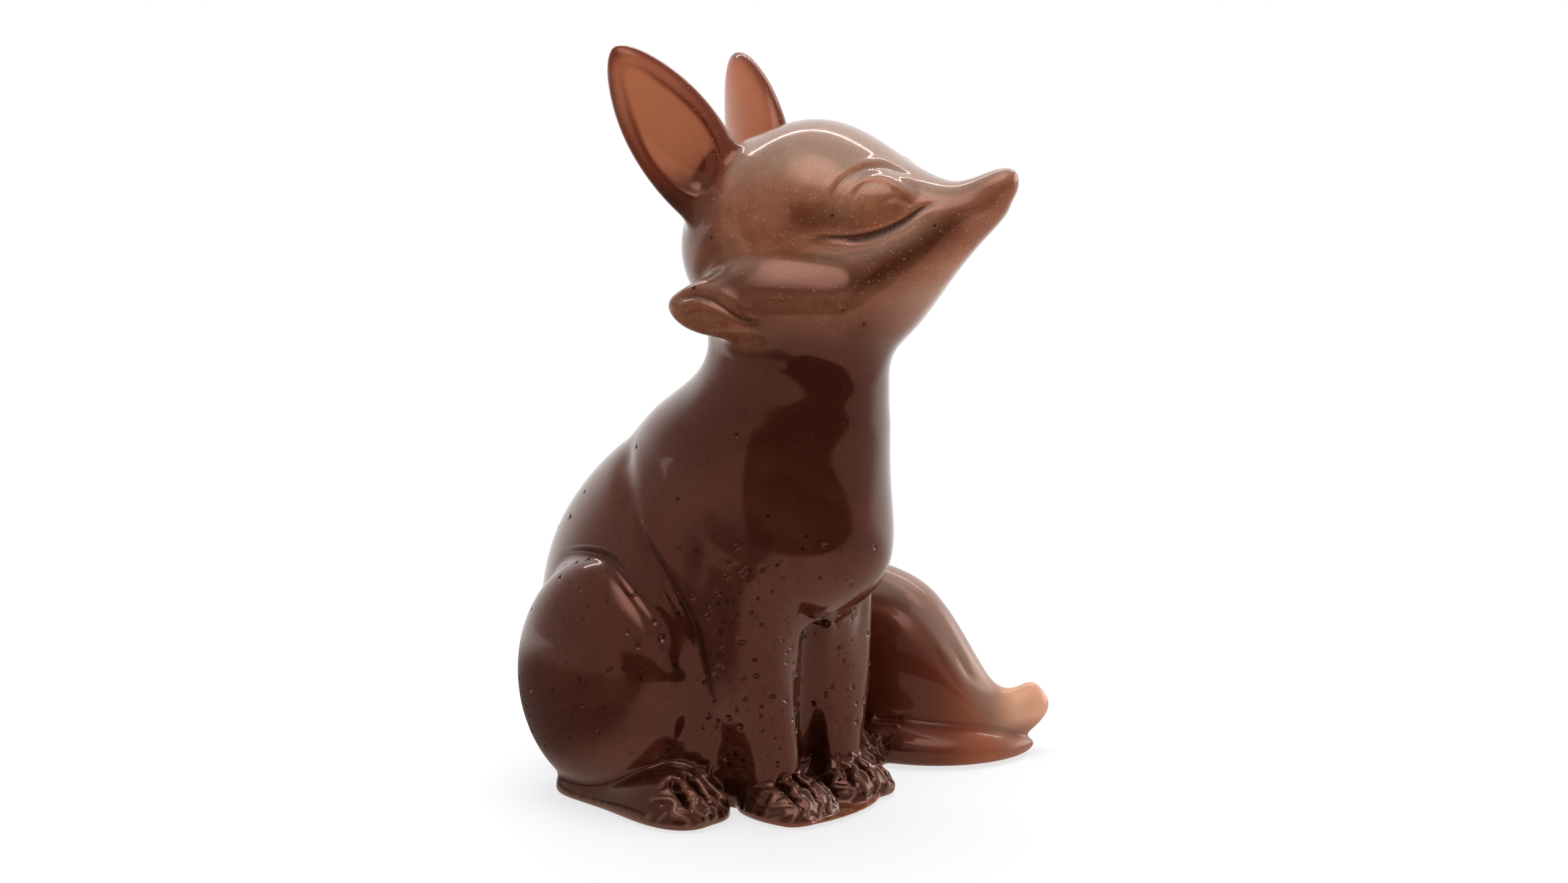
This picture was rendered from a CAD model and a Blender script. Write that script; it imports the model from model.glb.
import math
import random
from collections import namedtuple

import bpy
import numpy as np
import openvdb
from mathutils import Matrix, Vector


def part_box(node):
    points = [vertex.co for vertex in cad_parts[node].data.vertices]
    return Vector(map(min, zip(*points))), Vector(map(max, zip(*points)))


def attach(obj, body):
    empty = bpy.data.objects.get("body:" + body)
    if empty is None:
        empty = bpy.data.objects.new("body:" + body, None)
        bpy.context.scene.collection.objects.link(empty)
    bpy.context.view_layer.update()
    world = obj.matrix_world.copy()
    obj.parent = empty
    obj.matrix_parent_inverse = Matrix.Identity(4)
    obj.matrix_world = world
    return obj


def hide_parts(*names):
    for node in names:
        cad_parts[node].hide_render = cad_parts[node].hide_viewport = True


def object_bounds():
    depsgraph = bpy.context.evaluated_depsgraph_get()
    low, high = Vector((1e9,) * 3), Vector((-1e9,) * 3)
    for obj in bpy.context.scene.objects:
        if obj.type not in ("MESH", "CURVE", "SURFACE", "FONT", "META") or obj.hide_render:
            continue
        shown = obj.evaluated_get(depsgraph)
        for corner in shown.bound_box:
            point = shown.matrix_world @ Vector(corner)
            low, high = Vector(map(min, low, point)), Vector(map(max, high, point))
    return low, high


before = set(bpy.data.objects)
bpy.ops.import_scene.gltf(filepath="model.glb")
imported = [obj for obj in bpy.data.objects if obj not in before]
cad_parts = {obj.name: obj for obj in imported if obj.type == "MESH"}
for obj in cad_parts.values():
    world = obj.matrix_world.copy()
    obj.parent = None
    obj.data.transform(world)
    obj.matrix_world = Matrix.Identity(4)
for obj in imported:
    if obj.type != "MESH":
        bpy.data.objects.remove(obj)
old_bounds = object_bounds()

# The figurine is one resin casting, so its regions are melted into one skin here.
# Shapes are worked out in millimetres, in the frame of the CAD, and the mesh is made in metres.
# A pair of numbers given to smooth_step or span is where a change begins and where it is complete.
MM = 0.001
VOXEL = 0.2
# How far from the skin distances are kept, the room left around the object, and a blur's reach in spreads
BAND = 3.2
MARGIN = 2.0
BLUR_REACH = 2.5


# The field of distances that the casting's skin is taken from

def node_distances(name):
    """Signed distance to one CAD node around it, and the index of the array's first voxel."""
    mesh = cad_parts[name].data
    mesh.calc_loop_triangles()
    points = np.empty(len(mesh.vertices) * 3, np.float32)
    mesh.vertices.foreach_get("co", points)
    corners = np.empty(len(mesh.loop_triangles) * 3, np.int32)
    mesh.loop_triangles.foreach_get("vertices", corners)
    grid = openvdb.FloatGrid.createLevelSetFromPolygons(
        points.reshape(-1, 3) / MM,
        triangles=corners.reshape(-1, 3).astype(np.uint32),
        transform=openvdb.createLinearTransform(voxelSize=VOXEL),
        halfWidth=BAND / VOXEL,
    )
    first, last = (np.array(corner) for corner in grid.evalActiveVoxelBoundingBox())
    distances = np.zeros(last - first + 1, np.float32)
    grid.copyToArray(distances, ijk=tuple(int(i) for i in first))
    return distances, first


class Field:
    """Distances to the casting's skin on a regular grid, negative inside."""

    def __init__(self, low, high):
        self.first = np.floor((np.array(low) / MM - MARGIN) / VOXEL).astype(int)
        last = np.ceil((np.array(high) / MM + MARGIN) / VOXEL).astype(int)
        self.values = np.full(last - self.first + 1, BAND, np.float32)

    def add(self, name, blend):
        """Melts a CAD node into the field, with a fillet of about the blend's size."""
        distances, first = node_distances(name)
        start = first - self.first
        low = np.maximum(start, 0)
        high = np.minimum(start + distances.shape, self.values.shape)
        mine = tuple(slice(a, b) for a, b in zip(low, high))
        theirs = tuple(slice(a, b) for a, b in zip(low - start, high - start))
        self.values[mine] = smooth_min(self.values[mine], distances[theirs], blend)

    def axis(self, i):
        """The places of the voxels along one axis, shaped to broadcast over the field."""
        shape = [1, 1, 1]
        shape[i] = -1
        places = (self.first[i] + np.arange(self.values.shape[i])) * VOXEL
        return places.astype(np.float32).reshape(shape)

    def softened(self, spread):
        """The field under a Gaussian blur of that spread in millimetres."""
        reach = int(math.ceil(spread / VOXEL * BLUR_REACH))
        weights = np.exp(-0.5 * (np.arange(-reach, reach + 1) * VOXEL / spread) ** 2)
        weights /= weights.sum()
        values = self.values
        for i in range(3):
            pads = [(reach, reach) if j == i else (0, 0) for j in range(3)]
            padded = np.pad(values, pads, mode="edge")
            length = values.shape[i]
            values = np.zeros_like(values)
            for k, weight in enumerate(weights):
                window = [slice(None)] * 3
                window[i] = slice(k, k + length)
                values += np.float32(weight) * padded[tuple(window)]
        return values

    def at(self, points):
        """The field's value in the voxel nearest to each point."""
        places = np.rint(points / VOXEL).astype(int) - self.first
        places = places.clip(0, np.array(self.values.shape) - 1)
        return self.values[places[:, 0], places[:, 1], places[:, 2]]

    def skin(self):
        """Points and quads of the surface at distance zero."""
        grid = openvdb.FloatGrid(BAND)
        grid.copyFromArray(self.values, ijk=tuple(int(i) for i in self.first))
        grid.transform = openvdb.createLinearTransform(voxelSize=VOXEL)
        points, quads = grid.convertToQuads(0)
        return points.astype(np.float64), quads.astype(np.int64)


def from_rod(x, y, z, start, end, radius):
    """Distances from places to a round-ended rod."""
    start, run = np.array(start), np.array(end) - np.array(start)
    x, y, z = x - start[0], y - start[1], z - start[2]
    t = np.clip((x * run[0] + y * run[1] + z * run[2]) / (run @ run), 0, 1)
    return np.sqrt((x - t * run[0]) ** 2 + (y - t * run[1]) ** 2 + (z - t * run[2]) ** 2) - radius


def smooth_min(a, b, blend):
    share = np.clip(0.5 + 0.5 * (b - a) / blend, 0, 1)
    return b + (a - b) * share - blend * share * (1 - share)


def smooth_step(x, low, high):
    t = np.clip((x - low) / (high - low), 0, 1)
    return t * t * (3 - 2 * t)


# How softly each region melts into those before it
MELTS = {
    "back": 1.0,
    "chest": 1.8,
    "right_foreleg": 2.2,
    "left_foreleg": 0.9,
    "right_haunch": 0.8,
    "left_haunch": 0.8,
    "jaw": 2.6,
    "head": 1.8,
    "right_cheek_ruff": 2.4,
    "left_cheek_ruff": 2.4,
    "right_eyelid": 0.9,
    "left_eyelid": 0.9,
    "right_ear": 1.2,
    "left_ear": 1.2,
    "right_hind_paw": 0.6,
    "left_hind_paw": 0.6,
    "right_forepaw": 0.4,
    "left_forepaw": 0.4,
    "tail": 0.8,
    "tail_lower_lock": 0.4,
    "tail_side_lock": 1.6,
    "front_lip": 0.3,
}
# The left foreleg's fuller inner side, and the gap beside it: two ends and a radius
LEG_SIDE = ((3.6, -3.4, 3.0), (3.4, -4.2, 18.0), 1.8)
LEG_SIDE_BLEND = 2.4
LEG_GAP = ((0.2, -3.6, 4.0), (-1.7, -6.2, 18.0), 1.75)
LEG_GAP_BLEND = 0.6
# The blur of the form, and the softer one of the shoulders and neck, between two heights and off the tail
SHARP_SPREAD = 0.24
SOFT_SPREAD = 0.8
SOFT_ABOVE = (24, 32)
SOFT_BELOW = (47, 52)
SOFT_TAIL = (12, 16)
BASE_EDGE = 0.5


def make_field():
    """The whole casting's field, softer where the shoulders and neck flow into each other."""
    field = Field(*old_bounds)
    for name, blend in MELTS.items():
        field.add(name, blend)
    x, y, z = (field.axis(i) for i in range(3))
    gap = from_rod(x, y, z, *LEG_GAP)
    field.values = smooth_min(field.values, from_rod(x, y, z, *LEG_SIDE), LEG_SIDE_BLEND)
    field.values = -smooth_min(-field.values, gap, LEG_GAP_BLEND).astype(np.float32)
    soft_share = smooth_step(z, *SOFT_ABOVE) * (1 - smooth_step(z, *SOFT_BELOW))
    soft_share = soft_share * (1 - smooth_step(x, *SOFT_TAIL))
    sharp = field.softened(SHARP_SPREAD)
    soft = field.softened(SOFT_SPREAD)
    field.values = sharp + (soft - sharp) * soft_share
    field.values = -smooth_min(-field.values, np.broadcast_to(z, field.values.shape), BASE_EDGE)
    return field


# Work on the skin's points

# One round of smoothing draws points in and then lets them out, which keeps the form's size
SMOOTHING = (0.5, -0.52)


class Skin:
    """The casting's surface: points, quads and the edges between neighbours."""

    def __init__(self, points, quads):
        self.points = points
        self.quads = quads
        ends = np.concatenate([quads[:, [i, (i + 1) % 4]] for i in range(4)])
        self.edges = np.unique(np.sort(ends, axis=1), axis=0)
        self.degree = np.bincount(self.edges.ravel(), minlength=len(points))
        if self.volume() < 0:
            self.quads = quads[:, ::-1]

    def volume(self):
        """Six times the volume, positive when the quads face outwards."""
        a, b, c, d = (self.points[self.quads[:, i]] for i in range(4))
        return (np.einsum("ij,ij->i", a, np.cross(b, c)) + np.einsum("ij,ij->i", a, np.cross(c, d))).sum()

    def around(self, values):
        """The mean of a value over each point's neighbours."""
        a, b = self.edges[:, 0], self.edges[:, 1]
        count = len(self.points)
        if values.ndim == 1:
            total = np.bincount(a, values[b], count) + np.bincount(b, values[a], count)
            return total / self.degree
        return np.stack([self.around(values[:, i]) for i in range(values.shape[1])], axis=1)

    def blurred(self, values, rounds):
        """A value spread evenly over the skin, further with each round."""
        for _ in range(rounds):
            values = 0.5 * values + 0.5 * self.around(values)
        return values

    def smooth(self, rounds):
        """Takes ripples out of the points without shrinking the form."""
        for _ in range(rounds):
            for strength in SMOOTHING:
                self.points = self.points + strength * (self.around(self.points) - self.points)

    def normals(self):
        a, b, c, d = (self.points[self.quads[:, i]] for i in range(4))
        faces = np.cross(c - a, d - b)
        normals = np.zeros_like(self.points)
        for i in range(4):
            for j in range(3):
                normals[:, j] += np.bincount(self.quads[:, i], faces[:, j], len(self.points))
        return normals / np.linalg.norm(normals, axis=1, keepdims=True)

    def raise_by(self, heights):
        self.points = self.points + self.normals() * heights[:, None]

    def standing_out(self, rounds):
        """How far each point stands out of the skin around it, which reaches further with each round."""
        means = self.points
        for _ in range(rounds):
            means = self.around(means)
        return ((self.points - means) * self.normals()).sum(axis=1)


def keep_largest(points, quads):
    """Drops whatever isn't joined to the casting's main skin."""
    group = np.arange(len(points))
    while True:
        lowest = group[quads].min(axis=1)
        new = group.copy()
        for i in range(4):
            np.minimum.at(new, quads[:, i], lowest)
        new = new[new]
        if (new == group).all():
            break
        group = new
    names, counts = np.unique(group[quads[:, 0]], return_counts=True)
    kept_quads = quads[group[quads[:, 0]] == names[counts.argmax()]]
    used = np.unique(kept_quads)
    number = np.zeros(len(points), np.int64)
    number[used] = np.arange(len(used))
    return points[used], number[kept_quads]


def node_box(name):
    """A node's lowest and highest corners in millimetres."""
    return (np.array(corner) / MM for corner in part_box(name))


def near_node(points, name, reach):
    """One inside a node's box, fading to nothing at the reach outside it."""
    low, high = node_box(name)
    outside = np.maximum(low - points, points - high).clip(0).max(axis=1)
    return 1 - smooth_step(outside, 0, reach)


def near_pair(points, name, reach):
    """The same for a node on the fox's right and its fellow on the left."""
    return near_node(points, f"right_{name}", reach) + near_node(points, f"left_{name}", reach)


# Strokes: grooves and ridges that follow a curve drawn in a plane

CURVE_STEPS = 48
# How many widths from its curve a stroke is worked out, and a distance beyond any on the figurine
STROKE_REACH = 4
FAR = 1000.0

# A stroke's curve, half width and height, the share of its length over which each end fades,
# and how far it runs to the left of its curve
Stroke = namedtuple("Stroke", "points width height fade shift", defaults=(0.2, 0.0))


def curve(points, count):
    """Points along a smooth curve through the given ones."""
    points = np.array(points, float)
    ends = np.vstack([2 * points[0] - points[1], points, 2 * points[-1] - points[-2]])
    spans = len(points) - 1
    places = np.linspace(0, spans, count)
    first = np.minimum(places.astype(int), spans - 1)
    t = (places - first)[:, None]
    p0, p1, p2, p3 = (ends[first + i] for i in range(4))
    return 0.5 * (
        2 * p1
        + (p2 - p0) * t
        + (2 * p0 - 5 * p1 + 4 * p2 - p3) * t ** 2
        + (3 * p1 - 3 * p2 + p3 - p0) * t ** 3
    )


def along_curve(flat, points, reach, count=CURVE_STEPS):
    """Signed distance from each flat point to the curve, and how far along it the nearest place is.
    The distance is positive to the curve's left. Points beyond the reach get a large distance."""
    line = curve(points, count)
    low, high = line.min(0) - reach, line.max(0) + reach
    near = np.where(((flat > low) & (flat < high)).all(axis=1))[0]
    distance = np.full(len(flat), FAR)
    place = np.zeros(len(flat))
    best = np.full(len(near), FAR)
    signed = np.full(len(near), FAR)
    where = np.zeros(len(near))
    spans = len(line) - 1
    for i in range(spans):
        start, run = line[i], line[i + 1] - line[i]
        offset = flat[near] - start
        t = np.clip(offset @ run / (run @ run), 0, 1)
        gap = offset - t[:, None] * run
        size = np.hypot(gap[:, 0], gap[:, 1])
        nearer = size < best
        left = np.sign(run[0] * gap[:, 1] - run[1] * gap[:, 0])
        best[nearer] = size[nearer]
        signed[nearer] = (size * left)[nearer]
        where[nearer] = ((i + t) / spans)[nearer]
    distance[near] = signed
    place[near] = where
    return distance, place


def draw_stroke(flat, stroke):
    """Heights of a soft ridge along a curve, or of a groove when the height is negative."""
    distance, place = along_curve(flat, stroke.points, STROKE_REACH * stroke.width + abs(stroke.shift))
    ends = smooth_step(place, 0, stroke.fade) * (1 - smooth_step(place, 1 - stroke.fade, 1))
    return stroke.height * ends * np.exp(-(((distance - stroke.shift) / stroke.width) ** 2))


def draw_strokes(flat, strokes):
    return sum(draw_stroke(flat, stroke) for stroke in strokes)


# The head's own frame, as in the CAD: turned to the fox's left, tipped back and cocked a little
HEAD_YAW = math.radians(14)
HEAD_PITCH = math.radians(15)
HEAD_ROLL = math.radians(4)
HEAD_ORIGIN = np.array([1.0, -3.0, 60.0])


def head_ways():
    level = np.array([math.sin(HEAD_YAW), -math.cos(HEAD_YAW), 0])
    side = np.array([math.cos(HEAD_YAW), math.sin(HEAD_YAW), 0])
    ahead = level * math.cos(HEAD_PITCH) + np.array([0, 0, math.sin(HEAD_PITCH)])
    above = np.cross(ahead, side)
    return np.array([
        ahead,
        side * math.cos(HEAD_ROLL) - above * math.sin(HEAD_ROLL),
        above * math.cos(HEAD_ROLL) + side * math.sin(HEAD_ROLL),
    ])


HEAD_WAYS = head_ways()


def in_head(points):
    """How far ahead, aside and above the head's origin each point lies."""
    return (points - HEAD_ORIGIN) @ HEAD_WAYS.T


# Curves of the face, as seen from its side: ahead and above
BROW = [(6.4, -1.2), (7.0, 0.6), (8.0, 1.8), (9.4, 2.4), (11.0, 2.0), (13.0, 0.1), (14.8, -2.2)]
UPPER_LID = [(7.6, -1.4), (8.3, 0.3), (9.6, 1.2), (11.2, 0.9), (12.6, -0.5), (13.8, -2.1)]
INNER_LID = [(10.2, -2.6), (10.8, -1.5), (11.8, -1.1), (12.7, -1.7), (13.3, -2.4)]
SMILE = [(2.2, -2.9), (4.9, -3.5), (7.5, -4.1), (10.0, -4.0), (12.3, -3.4), (13.9, -2.6), (15.8, -2.2)]
CHEEK = [(1.5, -4.4), (5.0, -5.2), (8.5, -5.4), (11.5, -4.7), (14.0, -3.6), (16.5, -3.0)]
UNDER_CHEEK = [
    (-7.0, -5.4), (-2.6, -6.2), (1.5, -7.4), (5.5, -8.0), (9.5, -7.6), (14.0, -6.0), (19.0, -3.6),
]
BEHIND_EYE = [(0.5, -0.4), (3.8, -1.3), (7.5, -2.8), (10.0, -3.2)]
RUFF_GROOVE = [(-10.6, -6.2), (-8.6, -6.0), (-7.0, -6.6), (-5.4, -7.9), (-4.0, -9.4), (-2.4, -10.2)]
RUFF_FOLD = [(-10.2, -8.2), (-8.4, -7.8), (-6.6, -8.4), (-5.0, -9.6)]

EYE_AND_SMILE = (
    Stroke(BROW, 0.26, -0.17),
    Stroke(BROW, 0.40, 0.12, shift=0.60),
    Stroke(UPPER_LID, 0.26, 0.13),
    Stroke(UPPER_LID, 0.30, -0.07, shift=-0.55),
    Stroke(INNER_LID, 0.26, -0.10),
    Stroke(SMILE, 0.27, -0.58, fade=0.3),
    Stroke(SMILE, 0.35, 0.24, fade=0.3, shift=-0.70),
    Stroke(CHEEK, 1.0, 0.28, fade=0.4),
)
RUFF_CURL = (
    Stroke(RUFF_GROOVE, 0.36, -0.40, fade=0.15),
    Stroke(RUFF_GROOVE, 0.60, 0.16, shift=1.0),
    Stroke(RUFF_FOLD, 0.35, -0.16, fade=0.3),
)
# Shares of colour rather than heights: the pale cheek, and the dark bands under it and behind the eye
CHEEK_LIGHT = Stroke(CHEEK, 1.1, 1.0, fade=0.3)
FACE_DUSK = (
    Stroke(UNDER_CHEEK, 1.4, 1.0, fade=0.12),
    Stroke(BEHIND_EYE, 2.0, 0.62, fade=0.35),
)


def face_heights(points):
    """Closed eyes, the smile under them, and the curls at the end of the cheek ruffs."""
    local = in_head(points)
    ahead, aside = local[:, 0], np.abs(local[:, 1])
    flat = local[:, [0, 2]]
    face = smooth_step(aside, 1.5, 3.2) * smooth_step(ahead, -2, 1)
    ruff = smooth_step(aside, 8.4, 9.4) * (1 - smooth_step(ahead, -3, -1))
    return face * draw_strokes(flat, EYE_AND_SMILE) + ruff * draw_strokes(flat, RUFF_CURL)


# Rings around the neck: height above the base, half width, and how far each stands out
NECK_RINGS = ((42.8, 1.6, 0.15), (46.8, 1.8, -0.25))
NAPE = (2, 6)


def neck_heights(points):
    """The throat draws in under the jaw, above the swell of the chest."""
    z = points[:, 2]
    rings = sum(height * np.exp(-(((z - level) / width) ** 2)) for level, width, height in NECK_RINGS)
    return rings * (1 - smooth_step(points[:, 1], *NAPE))


# Creases of the body, as seen from its side: y and z
HAUNCH_CREASE = [
    (21.7, 22.0), (18.7, 24.5), (13.5, 25.4), (10.1, 24.7),
    (5.3, 20.8), (2.8, 16.1), (2.3, 13.5), (2.8, 9.7),
]
ELBOW_CREASE = [(9.4, 31.5), (8.4, 29.9), (6.3, 27.0), (3.1, 22.8), (1.1, 18.1), (0.4, 10.8), (-0.7, 5.6)]
SHOULDER_CREASE = [(14.8, 37.2), (12.4, 34.0), (10.2, 31.4), (8.4, 28.8)]
UNDER_FLANK = [(2.6, 14.5), (2.2, 10.0), (2.3, 6.0), (2.6, 2.5), (2.8, 0.0)]

BODY_CREASES = (
    Stroke(HAUNCH_CREASE, 0.50, -0.36, fade=0.35),
    Stroke(ELBOW_CREASE, 0.60, -0.45, fade=0.45),
    Stroke(SHOULDER_CREASE, 1.5, -0.38, fade=0.3),
)
# Shares of the dark resin that lies in the creases
DARK_CREASES = (
    Stroke(ELBOW_CREASE, 0.9, 0.75, fade=0.35),
    Stroke(HAUNCH_CREASE, 0.6, 0.80, fade=0.25),
    Stroke(UNDER_FLANK, 1.7, 0.85, fade=0.25),
)


def flank_share(x):
    """One on both sides of the body, clear of its middle and of the tail."""
    return smooth_step(np.abs(x), 5, 7) * (1 - smooth_step(x, 14, 15))


def body_heights(points):
    """The creases that part the haunches and the forelegs from the body."""
    return draw_strokes(points[:, 1:], BODY_CREASES) * flank_share(points[:, 0])


# The tail's centre line as in the CAD. Its locks are drawn by section number and height.
TAIL_LINE = [
    (2.0, 20.5), (9.0, 21.6), (15.8, 19.4), (20.0, 12.5), (21.0, 4.5),
    (22.6, -1.2), (25.4, -4.8), (28.0, -7.4), (30.2, -9.4),
]
TAIL_REACH = 14
TAIL_STEPS = 240
TAIL_ROUNDS = 12
SECTION_STEP = 6.0
LOCKS = [
    [(2.2, 17.5), (3.2, 18.6), (4.2, 18.8), (4.9, 17.1), (5.3, 14.9), (5.7, 11.8), (6.1, 9.4), (6.7, 7.3)],
    [
        (1.6, 14.0), (2.8, 16.2), (3.8, 17.5), (4.5, 17.3), (4.9, 16.0), (5.2, 13.9), (5.5, 11.0),
        (5.9, 8.3), (6.8, 5.8),
    ],
]


def tail_places(skin):
    """Where each point lies along the tail, and its height, both in millimetres or nearly so."""
    place = along_curve(skin.points[:, :2], TAIL_LINE, TAIL_REACH, TAIL_STEPS)[1]
    section = skin.blurred(place, TAIL_ROUNDS) * (len(TAIL_LINE) - 1)
    return np.stack([section * SECTION_STEP, skin.points[:, 2]], axis=1)


def lock_strokes(width, height, fade, shift):
    """One stroke along each lock of the tail."""
    lines = [[(section * SECTION_STEP, level) for section, level in lock] for lock in LOCKS]
    return [Stroke(line, width, height, fade, shift) for line in lines]


LOCK_RIDGES = lock_strokes(0.70, 0.24, 0.25, 0.6)
LOCK_GROOVES = lock_strokes(0.60, -0.20, 0.25, -0.6)
LOCK_STREAKS = lock_strokes(0.42, 1.0, 0.2, 0.6)


def tail_heights(flat):
    """Locks of fur that sweep over the tail and down to its tip, each lapping the next."""
    return draw_strokes(flat, LOCK_RIDGES) + draw_strokes(flat, LOCK_GROOVES)


PAWS = ("right_forepaw", "left_forepaw", "right_hind_paw", "left_hind_paw")
# The fur's ridges: how far apart they run, how high, how far back from the toes, and over what they fade
FUR_SPACING = 1.7
FUR_HEIGHT = 0.30
FUR_REACH = 5.5
FUR_FADE = 1.5
# How narrow the ridges are, and how far the skin between them sinks, as a share of their height
FUR_SHARPNESS = 1.4
FUR_SINK = 0.35
# A second family of ridges, further apart and lower, crosses the first
CROSS_SPACING = 3.4
CROSS_SHARE = 0.60


def ridges(turns):
    """One wherever the number of turns is whole, and nothing half way between."""
    return 1 - np.abs(np.sin(math.pi * turns))


def paw_heights(points):
    """Wavy ridges of fur that run along each paw's toes."""
    heights = np.zeros(len(points))
    for number, name in enumerate(PAWS):
        low, high = node_box(name)
        aside = points[:, 0] - (low[0] + high[0]) / 2
        back = points[:, 1] - low[1]
        z = points[:, 2]
        wave = 0.26 * np.sin(1.3 * back + 1.9 * z + number) + 0.14 * np.sin(2.7 * z - 1.9 * aside)
        cross = ridges(aside / CROSS_SPACING + 0.30 * back + 0.25 * z - wave)
        ridge = np.maximum(ridges(aside / FUR_SPACING + wave), CROSS_SHARE * cross)
        knuckles = 0.75 + 0.25 * np.sin(1.8 * back + 1.3 * z + number)
        share = near_node(points, name, 0.3) * (1 - smooth_step(back, FUR_REACH - FUR_FADE, FUR_REACH))
        share *= smooth_step(z, 0.3, 1.2)
        heights += share * FUR_HEIGHT * (knuckles * ridge ** FUR_SHARPNESS - FUR_SINK)
    return heights


# Trapped bubbles that opened as pits: how many, the least and greatest radius, and their depth
PITS = 260
PIT_SEED = 11
PIT_RADIUS = (0.17, 0.30)
PIT_DEPTH = 0.25
PIT_STEEPNESS = 1.6
# The chance of a pit low on the body, what the forelegs add to it, and the chance anywhere else
LOW_PITS = 0.20
LEG_PITS = 0.78
STRAY_PITS = 0.01
STRAY_SMALL_PITS = 0.006


def pit_chance(points):
    """How likely a pit is: most likely on the forelegs, and not at all at the base or on the tail."""
    x, z = points[:, 0], points[:, 2]
    low = 1 - smooth_step(z, 24, 34)
    legs = near_pair(points, "foreleg", 2).clip(0, 1)
    return (LOW_PITS * low + LEG_PITS * low * legs) * smooth_step(z, 3, 6) * (1 - smooth_step(x, 14, 16))


def pit_heights(points, chance):
    """Round pits at random places, chosen where the chance is high."""
    draw = random.Random(PIT_SEED)
    heights = np.zeros(len(points))
    chosen = 0
    while chosen < PITS:
        i = draw.randrange(len(points))
        if draw.random() > chance[i]:
            continue
        chosen += 1
        radius = PIT_RADIUS[0] + (PIT_RADIUS[1] - PIT_RADIUS[0]) * draw.random() ** 2
        offset = points - points[i]
        near = np.where((np.abs(offset) < 2 * radius).all(axis=1))[0]
        size = np.linalg.norm(offset[near], axis=1) / radius
        heights[near] = np.minimum(heights[near], -PIT_DEPTH * np.exp(-(size ** 2) * PIT_STEEPNESS))
    return heights


# The depth of resin is looked for from just under the skin, up to this reach, and then evened out
DEPTH_START = 3 * VOXEL
DEPTH_REACH = 9
DEPTH_ROUNDS = 20


def thickness(field, skin):
    """How far the resin goes in behind each point."""
    inwards = -skin.normals()
    depths = np.full(len(skin.points), float(DEPTH_REACH))
    inside = np.ones(len(skin.points), bool)
    for step in np.arange(DEPTH_START, DEPTH_REACH, VOXEL):
        leaves = inside & (field.at(skin.points + inwards * step) > 0)
        depths[leaves] = step
        inside &= ~leaves
    return skin.blurred(depths, DEPTH_ROUNDS)


# Shares of colour from 0 to 1, which the mesh carries to the material

def face_shares(points, up):
    """The head's own resin, its pearl, the pale cheek and throat, the dark bands and the nose."""
    local = in_head(points)
    ahead, aside, above = local.T
    flat = local[:, [0, 2]]
    z = points[:, 2]
    ruffs = near_pair(points, "cheek_ruff", 2.0)
    head = smooth_step(z, 47, 58) * smooth_step(ahead, -11, -1)
    head = np.maximum(head, 0.5 * ruffs * (1 - smooth_step(ahead, -5, -2)))
    side = smooth_step(np.abs(aside), 1.5, 3.5) * smooth_step(z, 44, 47)
    throat = smooth_step(-above, 8.0, 11.0) * smooth_step(ahead, 5, 12) * smooth_step(z, 44, 50)
    return {
        "head": head,
        "pale": np.maximum(side * draw_stroke(flat, CHEEK_LIGHT), 0.65 * throat),
        "dusk": side * draw_strokes(flat, FACE_DUSK),
        "nose": 0.55 * smooth_step(ahead, 12, 19) * head,
        "pearl": head * smooth_step(up, 0.15, 0.85),
    }


def tail_shares(points, flat):
    """The tail, its peach tip, the glow before it, its dark root, and the pearl on its top and streaks."""
    x, y, z = points.T
    section = flat[:, 0] / SECTION_STEP
    tail = smooth_step(x, 14, 18) * (1 - smooth_step(y, 10, 20)) * (1 - smooth_step(z, 26, 32))
    tip = tail * smooth_step(section, 6.4, 7.5) * smooth_step(z, 2.4, 4.5)
    ridge_line = 19.5 - 15.5 * smooth_step(section, 4.2, 7.2)
    top = tail * smooth_step(z - ridge_line, -5.0, 0.5)
    return {
        "tail": tail,
        "tip": tip,
        "glow": tail * smooth_step(section, 4.9, 6.6) * (1 - 0.5 * top),
        "dusk": 0.8 * tail * (1 - smooth_step(section, 4.9, 6.0)) * (1 - top),
        "pearl": tail * (0.7 * top + draw_strokes(flat, LOCK_STREAKS)).clip(0, 1) * (1 - tip),
    }


# How deep the skin lies in a hollow, and how far from the gap between the forelegs the dark reaches
HOLLOW_DEPTHS = (0.0572, 0.234)
GAP_SHADE = (0.3, 1.3)


def hollow_share(points, relief):
    """The creases, the gap between the forelegs, and wherever the skin lies deep."""
    x, y, z = points.T
    flank = flank_share(x)
    hollow = smooth_step(-relief, *HOLLOW_DEPTHS)
    for crease in DARK_CREASES:
        hollow = np.maximum(hollow, flank * draw_stroke(points[:, 1:], crease))
    return np.maximum(hollow, 1 - smooth_step(from_rod(x, y, z, *LEG_GAP), *GAP_SHADE))


def ear_share(points):
    return near_pair(points, "ear", 0.5).clip(0, 1) * smooth_step(points[:, 2], 61, 65)


# Rounds over which rims and hollows stand out, and the fur's crests, and how high both are
RELIEF_ROUNDS = 30
CREST_ROUNDS = 6
RIM_HEIGHTS = (0.030, 0.225)
CREST_HEIGHT = 0.06


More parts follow.
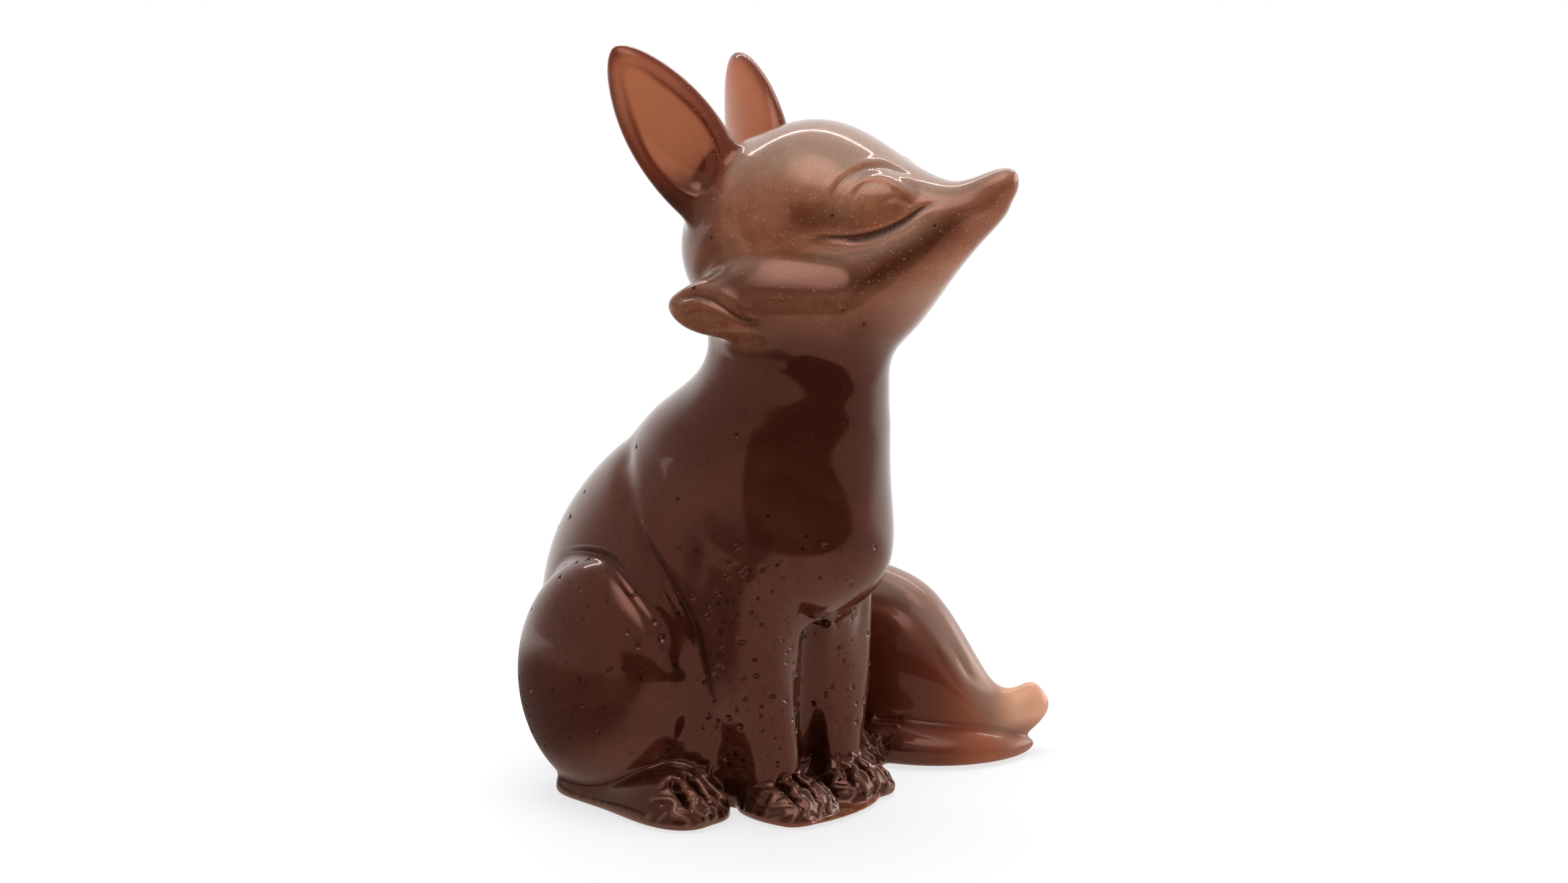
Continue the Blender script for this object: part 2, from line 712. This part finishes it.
def colour_shares(skin):
    """Where the resin is paler, pearly, peach or dark."""
    points = skin.points
    z = points[:, 2]
    relief = skin.standing_out(RELIEF_ROUNDS)
    face = face_shares(points, skin.normals()[:, 2])
    tail = tail_shares(points, tail_places(skin))
    ear = ear_share(points)
    return {
        "head": face["head"],
        "pale": face["pale"],
        "dusk": np.maximum(face["dusk"], tail["dusk"]).clip(0, 1),
        "nose": face["nose"],
        "ear": ear,
        "rim": smooth_step(relief, *RIM_HEIGHTS),
        "crest": (skin.standing_out(CREST_ROUNDS) / CREST_HEIGHT).clip(-1, 1),
        "hollow": hollow_share(points, relief) * (1 - ear) * (1 - 0.7 * tail["tail"]),
        "tail": tail["tail"],
        "glow": tail["glow"],
        "tip": tail["tip"],
        "pearl": np.maximum(face["pearl"], tail["pearl"]),
        "feet": (1 - smooth_step(z, 1.5, 6.0)) * (1 - tail["tail"]),
        "lip": near_node(points, "front_lip", 0.2) * (1 - smooth_step(z, 0.9, 1.5)),
    }


def make_mesh(name, skin):
    mesh = bpy.data.meshes.new(name)
    mesh.vertices.add(len(skin.points))
    mesh.vertices.foreach_set("co", (skin.points * MM).astype(np.float32).ravel())
    mesh.loops.add(len(skin.quads) * 4)
    mesh.loops.foreach_set("vertex_index", skin.quads.astype(np.int32).ravel())
    mesh.polygons.add(len(skin.quads))
    mesh.polygons.foreach_set("loop_start", np.arange(0, len(skin.quads) * 4, 4, dtype=np.int32))
    mesh.update(calc_edges=True)
    mesh.validate()
    mesh.shade_smooth()
    return mesh


def set_attribute(mesh, name, values):
    attribute = mesh.attributes.new(name, "FLOAT", "POINT")
    attribute.data.foreach_set("value", values.astype(np.float32))


def carved_skin(field):
    """The casting's skin with its eyes, creases, locks and fur, and without its pits."""
    skin = Skin(*keep_largest(*field.skin()))
    skin.smooth(4)
    points = skin.points
    above_base = smooth_step(points[:, 2], 0.1, 0.8)
    on_tail = near_node(points, "tail", 1.0) * smooth_step(points[:, 0], 15, 18)
    heights = face_heights(points) + neck_heights(points) + body_heights(points) + paw_heights(points)
    heights += tail_heights(tail_places(skin)) * on_tail
    skin.raise_by(above_base * heights)
    skin.smooth(1)
    return skin


def make_casting():
    field = make_field()
    skin = carved_skin(field)
    depths = thickness(field, skin)
    shares = colour_shares(skin)
    chance = pit_chance(skin.points)
    off_ears = 1 - shares["ear"]
    pits = pit_heights(skin.points, (chance + STRAY_PITS) * off_ears)
    skin.raise_by(pits)
    mesh = make_mesh("casting", skin)
    set_attribute(mesh, "depth", depths)
    set_attribute(mesh, "pit", -pits / PIT_DEPTH)
    set_attribute(mesh, "pitted", (chance + STRAY_SMALL_PITS) * off_ears)
    for name, share in shares.items():
        set_attribute(mesh, name, share)
    casting = bpy.data.objects.new("casting", mesh)
    bpy.context.scene.collection.objects.link(casting)
    return casting


# Material: glossy brown resin with a pearl pigment that glows where the casting is thin

class Nodes:
    """Short calls that add shader nodes and link them."""

    def __init__(self, tree):
        self.tree = tree
        self.tree.nodes.clear()

    def add(self, kind, inputs=(), **settings):
        node = self.tree.nodes.new(kind)
        for key, value in settings.items():
            setattr(node, key, value)
        for key, value in dict(inputs).items():
            if isinstance(value, bpy.types.NodeSocket):
                self.tree.links.new(value, node.inputs[key])
            else:
                node.inputs[key].default_value = value
        return node

    def maths(self, operation, a, b=0.0, clamp=False):
        return self.add("ShaderNodeMath", {0: a, 1: b}, operation=operation, use_clamp=clamp).outputs[0]

    def mix(self, share, a, b):
        node = self.add("ShaderNodeMix", {0: share}, data_type="RGBA")
        for key, value in ((6, a), (7, b)):
            if isinstance(value, bpy.types.NodeSocket):
                self.tree.links.new(value, node.inputs[key])
            else:
                node.inputs[key].default_value = (*value, 1)
        return node.outputs[2]

    def span(self, value, low, high, to_low=0.0, to_high=1.0):
        inputs = {0: value, 1: low, 2: high, 3: to_low, 4: to_high}
        return self.add("ShaderNodeMapRange", inputs, interpolation_type="SMOOTHSTEP").outputs[0]

    def noise(self, place, scale, detail=3.0, distortion=0.0):
        inputs = {"Vector": place, "Scale": scale, "Detail": detail, "Distortion": distortion}
        return self.add("ShaderNodeTexNoise", inputs).outputs["Fac"]

    def cells(self, place, scale):
        """Each cell's distance from its centre, and two random numbers of its own."""
        cells = self.add("ShaderNodeTexVoronoi", {"Vector": place, "Scale": scale}).outputs
        draw = self.add("ShaderNodeSeparateColor", {0: cells["Color"]}).outputs
        return cells["Distance"], draw[0], draw[1]

    def attribute(self, name):
        return self.add("ShaderNodeAttribute", attribute_name=name).outputs["Fac"]

    def layer(self, below, name, colour, strength=1.0):
        """A colour laid over another where the mesh's named share says so."""
        share = self.attribute(name)
        if strength < 1:
            share = self.maths("MULTIPLY", share, strength)
        return self.mix(share, below, colour)


DEEP_BROWN = (0.036, 0.0075, 0.0035)
WARM_BROWN = (0.058, 0.0145, 0.0075)
HEAD_BROWN = (0.205, 0.062, 0.028)
HEAD_GOLD = (0.420, 0.212, 0.115)
PEARL = (0.290, 0.218, 0.175)
PALE_CHEEK = (0.340, 0.200, 0.145)
DUSK_BROWN = (0.046, 0.009, 0.004)
TAIL_BROWN = (0.140, 0.025, 0.010)
TAIL_ORANGE = (0.230, 0.068, 0.027)
PEACH = (0.560, 0.320, 0.205)
SALMON = (0.470, 0.165, 0.080)
NOSE_BROWN = (0.150, 0.042, 0.024)
RIM_BROWN = (0.115, 0.023, 0.010)
MICA_GOLD = (0.700, 0.460, 0.270)
PIT_BROWN = (0.010, 0.003, 0.002)
FOOT_BROWN = (0.022, 0.006, 0.003)
CREST_BROWN = (0.110, 0.058, 0.040)
HOLLOW_BROWN = (0.020, 0.004, 0.002)
LIP_BROWN = (0.170, 0.060, 0.034)
# The resin's patterns, in periods to the metre: swirls of pigment, clouds in them, grains, flakes and pits
SWIRLS = 60
CLOUDS = 140
RIPPLES = 300
GRAINS = 900
SMALL_PIT_CELLS = 1100
FLAKE_CELLS = 5200
# Depths in millimetres between which light shows through the ears
THIN = (2.0, 4.2)


def resin_colour(n, place):
    """The resin's colour before its flakes and pits: darker where it is thick, pearly where it faces up."""
    swirl = n.noise(place, SWIRLS, 4.0, 1.6)
    cloud = n.noise(place, CLOUDS, 5.0, 0.6)
    grains = n.noise(place, GRAINS, 3.0)
    gold = n.maths("MULTIPLY", n.span(cloud, 0.30, 0.80), n.span(grains, 0.25, 0.75, 0.5, 1.0))
    pearl = n.maths("MULTIPLY", n.attribute("pearl"), n.span(cloud, 0.2, 0.8, 0.55, 0.85))
    thin = n.span(n.attribute("depth"), *THIN, 1.0, 0.0)
    ear = n.mix(n.attribute("rim"), n.mix(thin, RIM_BROWN, SALMON), RIM_BROWN)
    crest = n.mix(n.span(n.attribute("crest"), 0.15, 0.90), FOOT_BROWN, CREST_BROWN)
    body = n.mix(n.span(swirl, 0.35, 0.70), DEEP_BROWN, WARM_BROWN)
    body = n.layer(body, "head", n.mix(gold, HEAD_BROWN, HEAD_GOLD))
    body = n.layer(body, "nose", NOSE_BROWN)
    body = n.layer(body, "tail", TAIL_BROWN, 0.85)
    body = n.layer(body, "glow", TAIL_ORANGE)
    body = n.mix(pearl, body, PEARL)
    body = n.layer(body, "pale", PALE_CHEEK, 0.75)
    body = n.layer(body, "dusk", DUSK_BROWN, 0.85)
    body = n.layer(body, "ear", ear)
    body = n.layer(body, "tip", PEACH)
    body = n.layer(body, "hollow", HOLLOW_BROWN, 0.75)
    body = n.layer(body, "feet", crest, 0.85)
    return n.layer(body, "lip", LIP_BROWN)


def flake_share(n, place):
    """Gold mica flakes, seen most on the head."""
    distance, draw, _ = n.cells(place, FLAKE_CELLS)
    bright = n.span(draw, 0.90, 0.99)
    core = n.span(distance, 0.20, 0.55, 1.0, 0.0)
    amount = n.span(n.attribute("head"), 0.0, 1.0, 0.05, 0.45)
    return n.maths("MULTIPLY", n.maths("MULTIPLY", bright, core), amount)


def small_pit_share(n, place):
    """Pits too small for the mesh, where the casting is pitted."""
    distance, draw, other_draw = n.cells(place, SMALL_PIT_CELLS)
    chosen = n.maths("LESS_THAN", other_draw, n.attribute("pitted"))
    radius = n.span(draw, 0.2, 1.0, 0.15, 0.33)
    return n.maths("MULTIPLY", chosen, n.maths("GREATER_THAN", radius, distance))


def resin_material():
    material = bpy.data.materials.new("pearl_resin")
    material.use_nodes = True
    n = Nodes(material.node_tree)
    place = n.add("ShaderNodeTexCoord").outputs["Object"]
    small_pits = small_pit_share(n, place)
    pits = n.maths("MAXIMUM", small_pits, n.attribute("pit"))
    body = n.mix(flake_share(n, place), resin_colour(n, place), MICA_GOLD)
    body = n.mix(n.maths("MULTIPLY", pits, 0.92, True), body, PIT_BROWN)
    ripple = n.maths("MULTIPLY", n.noise(place, RIPPLES, 2.0), 0.08)
    height = n.maths("SUBTRACT", ripple, small_pits)
    bump = n.add("ShaderNodeBump", {"Strength": 0.30, "Distance": 0.0002, "Height": height})
    polish = n.span(n.noise(place, CLOUDS, 3.0), 0.2, 0.8, 0.10, 0.20)
    softer_tail = n.maths("MULTIPLY", n.attribute("tail"), 0.22)
    shader = n.add("ShaderNodeBsdfPrincipled", {
        "Base Color": body,
        "Roughness": n.maths("ADD", polish, softer_tail),
        "Normal": bump.outputs[0],
        "IOR": 1.5,
        "Specular IOR Level": 0.8,
        "Specular Tint": (1.0, 0.34, 0.22, 1),
        "Subsurface Weight": 0.5,
        "Subsurface Radius": (1.0, 0.30, 0.14),
        "Subsurface Scale": 0.0035,
        "Coat Weight": 0.50,
        "Coat Roughness": 0.03,
        "Coat IOR": 1.5,
    }, subsurface_method="RANDOM_WALK")
    n.add("ShaderNodeOutputMaterial", {"Surface": shader.outputs[0]})
    return material


# Studio: a pale floor, a white surround and soft lamps
# Its directions are level, towards the camera, and side, to the camera's right

ROOM_TONE = (0.46, 0.38, 0.34)
BACK_TONE = (0.95, 0.92, 0.90)
DARK_TONE = (0.02, 0.02, 0.02)
KEY_TONE = (2.6, 2.4, 2.2)


def ground_ways(towards_camera):
    """The level directions towards the camera and to its right."""
    level = Vector((towards_camera.x, towards_camera.y, 0)).normalized()
    return level, Vector((-level.y, level.x, 0))


def along(n, vector, axis):
    """How far a vector runs along an axis."""
    inputs = {0: vector, 1: tuple(axis)}
    return n.add("ShaderNodeVectorMath", inputs, operation="DOT_PRODUCT").outputs["Value"]


FLOOR_SIZE = 8.0
FLOOR_DROP = 0.0001
FLOOR_TONES = ((0.86, 0.86, 0.87), (0.89, 0.89, 0.90))
# The floor as the camera sees it turns white over this distance from the object
SHADOW_REACH = (0.05, 0.16)
# The floor as the gloss sees it: two tones near the object, parted at a line to its left, then the room's,
# white behind the object, and dark beyond a line before it and right of another
NEAR_LEFT = (0.15, 0.12, 0.11)
NEAR_FRONT = (0.62, 0.50, 0.42)
NEAR_LINE = (-0.032, -0.018)
NEAR_REACH = (0.09, 0.20)
WHITE_LINE = (-0.12, -0.03)
DARK_FRONT_LINE = (0.094, 0.112)
DARK_LEFT_LINE = (-0.01, 0.01)


def floor_gloss(n, place, distance, towards_camera):
    """The tones that only the object's gloss sees in the floor."""
    level, side = ground_ways(towards_camera)
    before = n.span(along(n, place, level - side * 0.15), *DARK_FRONT_LINE)
    right_of = n.span(along(n, place, side + level * 0.65), *DARK_LEFT_LINE)
    room = n.mix(n.span(along(n, place, side), *NEAR_LINE), NEAR_LEFT, NEAR_FRONT)
    room = n.mix(n.span(distance, *NEAR_REACH), room, ROOM_TONE)
    room = n.mix(n.span(along(n, place, level), *WHITE_LINE), BACK_TONE, room)
    return n.mix(n.maths("MULTIPLY", before, right_of), room, DARK_TONE)


def floor_material(towards_camera):
    """Pale and matt, plain white to the camera away from the object's shadow, and dim in the gloss."""
    material = bpy.data.materials.new("pale_floor")
    material.use_nodes = True
    n = Nodes(material.node_tree)
    place = n.add("ShaderNodeTexCoord").outputs["Object"]
    distance = n.add("ShaderNodeVectorMath", {0: place}, operation="LENGTH").outputs["Value"]
    rays = n.add("ShaderNodeLightPath").outputs
    tone = n.mix(n.noise(place, 9, 2.0), *FLOOR_TONES)
    plain = n.add("ShaderNodeBsdfPrincipled", {"Base Color": tone, "Roughness": 0.6})
    white = n.add("ShaderNodeEmission", {"Color": (1, 1, 1, 1), "Strength": 1.0})
    share = n.maths("MULTIPLY", rays["Is Camera Ray"], n.span(distance, *SHADOW_REACH, 0.72, 1.0))
    both = n.add("ShaderNodeMixShader", {0: share, 1: plain.outputs[0], 2: white.outputs[0]})
    gloss = floor_gloss(n, place, distance, towards_camera)
    dim = n.add("ShaderNodeEmission", {"Color": gloss, "Strength": 1.0})
    seen = n.add("ShaderNodeMixShader", {0: rays["Is Glossy Ray"], 1: both.outputs[0], 2: dim.outputs[0]})
    n.add("ShaderNodeOutputMaterial", {"Surface": seen.outputs[0]})
    return material


def make_floor(towards_camera):
    half = FLOOR_SIZE / 2
    mesh = bpy.data.meshes.new("floor")
    corners = [(-half, -half, 0), (half, -half, 0), (half, half, 0), (-half, half, 0)]
    mesh.from_pydata(corners, [], [(0, 1, 2, 3)])
    floor = bpy.data.objects.new("floor", mesh)
    floor.location.z = -FLOOR_DROP
    bpy.context.scene.collection.objects.link(floor)
    mesh.materials.append(floor_material(towards_camera))


WORLD_LIGHT = 0.60
# Edges of what the gloss sees around it, as cosines: the white behind, and the dark zone's
# left, back and top
WHITE_EDGE = (-0.85, -0.25)
DARK_LEFT_EDGE = (-0.60, -0.52)
DARK_BACK_EDGE = (-0.10, 0.10)
DARK_TOP_EDGE = (0.13, 0.19)
# Two soft lights in the gloss, each with its direction by level, side and up, and its edge
KEY_WAY = (0.45, -0.05, 0.88)
KEY_EDGE = (0.84, 0.99)
WINDOW_WAY = (-0.50, 1.0, 0.0)
WINDOW_EDGE = (0.86, 0.97)


def world_gloss(n, way, towards_camera):
    """What only the gloss sees: white behind, a dim room ahead with a dark zone, and two lights."""
    level, side = ground_ways(towards_camera)
    up = Vector((0, 0, 1))
    front = along(n, way, level)
    left_edge = n.span(along(n, way, side), *DARK_LEFT_EDGE)
    sides = n.maths("MULTIPLY", left_edge, n.span(front, *DARK_BACK_EDGE))
    dark = n.maths("MULTIPLY", sides, n.span(along(n, way, up), *DARK_TOP_EDGE, 1.0, 0.0))
    gloss = n.mix(dark, n.mix(n.span(front, *WHITE_EDGE), BACK_TONE, ROOM_TONE), DARK_TONE)
    for (a, b, c), edge in ((WINDOW_WAY, WINDOW_EDGE), (KEY_WAY, KEY_EDGE)):
        light_way = (level * a + side * b + up * c).normalized()
        gloss = n.mix(n.span(along(n, way, light_way), *edge), gloss, KEY_TONE)
    return gloss


def make_world(towards_camera):
    """A plain soft light, and white to the camera."""
    world = bpy.data.worlds.new("studio")
    bpy.context.scene.world = world
    world.use_nodes = True
    n = Nodes(world.node_tree)
    way = n.add("ShaderNodeTexCoord").outputs["Generated"]
    rays = n.add("ShaderNodeLightPath").outputs
    clear = n.maths("MAXIMUM", rays["Is Camera Ray"], rays["Is Transmission Ray"])
    light = (WORLD_LIGHT, WORLD_LIGHT, WORLD_LIGHT)
    colour = n.mix(rays["Is Glossy Ray"], light, world_gloss(n, way, towards_camera))
    colour = n.mix(clear, colour, (1, 1, 1))
    surround = n.add("ShaderNodeBackground", {"Color": colour, "Strength": 1.0})
    n.add("ShaderNodeOutputWorld", {"Surface": surround.outputs[0]})


# Lamps: place by level, side and up, size, power in watts, and whether the gloss sees the lamp
LAMPS = {
    "top_softbox": ((-0.10, 0.0, 0.60), (0.4, 0.3), 2.4, False),
    "left_softbox": ((0.20, -0.50, 0.35), (0.2, 0.3), 0.3, False),
    "right_softbox": ((0.30, 0.45, 0.12), (0.2, 0.3), 0.8, False),
    "back_strip": ((-0.40, 0.0, 0.50), (0.9, 0.012), 0.8, True),
}
LAMP_TARGET = Vector((0, 0, 0.04))


def make_lamp(name, place, size, power, in_gloss):
    light = bpy.data.lights.new(name, "AREA")
    light.shape = "RECTANGLE"
    light.size, light.size_y = size
    light.energy = power
    lamp = bpy.data.objects.new(name, light)
    lamp.location = place
    lamp.rotation_euler = (LAMP_TARGET - place).to_track_quat("-Z", "Y").to_euler()
    lamp.visible_glossy = in_gloss
    bpy.context.scene.collection.objects.link(lamp)


# The photograph's viewpoint: it looks from the fox's right, a little from above
VIEW_TARGET = Vector((-0.0006, -0.0010, 0.0370))
VIEW_AZIMUTH = math.radians(-50)
VIEW_HEIGHT = math.radians(10)
VIEW_DISTANCE = 0.300
# Its width in pixels, and how many of them show a millimetre at the target
IMAGE_WIDTH = 2560
PIXELS_PER_MM = 16.3
SENSOR_WIDTH = 36.0
NEAREST_SEEN = 0.01


def make_camera():
    towards = Vector((
        math.sin(VIEW_AZIMUTH) * math.cos(VIEW_HEIGHT),
        -math.cos(VIEW_AZIMUTH) * math.cos(VIEW_HEIGHT),
        math.sin(VIEW_HEIGHT),
    ))
    data = bpy.data.cameras.new("camera")
    data.sensor_width = SENSOR_WIDTH
    data.lens = SENSOR_WIDTH * PIXELS_PER_MM * (VIEW_DISTANCE / MM) / IMAGE_WIDTH
    data.clip_start = NEAREST_SEEN
    camera = bpy.data.objects.new("camera", data)
    camera.location = VIEW_TARGET + towards * VIEW_DISTANCE
    camera.rotation_euler = (-towards).to_track_quat("-Z", "Y").to_euler()
    bpy.context.scene.collection.objects.link(camera)
    bpy.context.scene.camera = camera
    return towards


def make_studio(towards):
    make_world(towards)
    make_floor(towards)
    level, side = ground_ways(towards)
    up = Vector((0, 0, 1))
    for name, ((a, b, c), size, power, in_gloss) in LAMPS.items():
        make_lamp(name, level * a + side * b + up * c, size, power, in_gloss)


casting = make_casting()
casting.data.materials.append(resin_material())
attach(casting, "root")
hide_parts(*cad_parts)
make_studio(make_camera())
bpy.context.scene.view_settings.view_transform = "Standard"
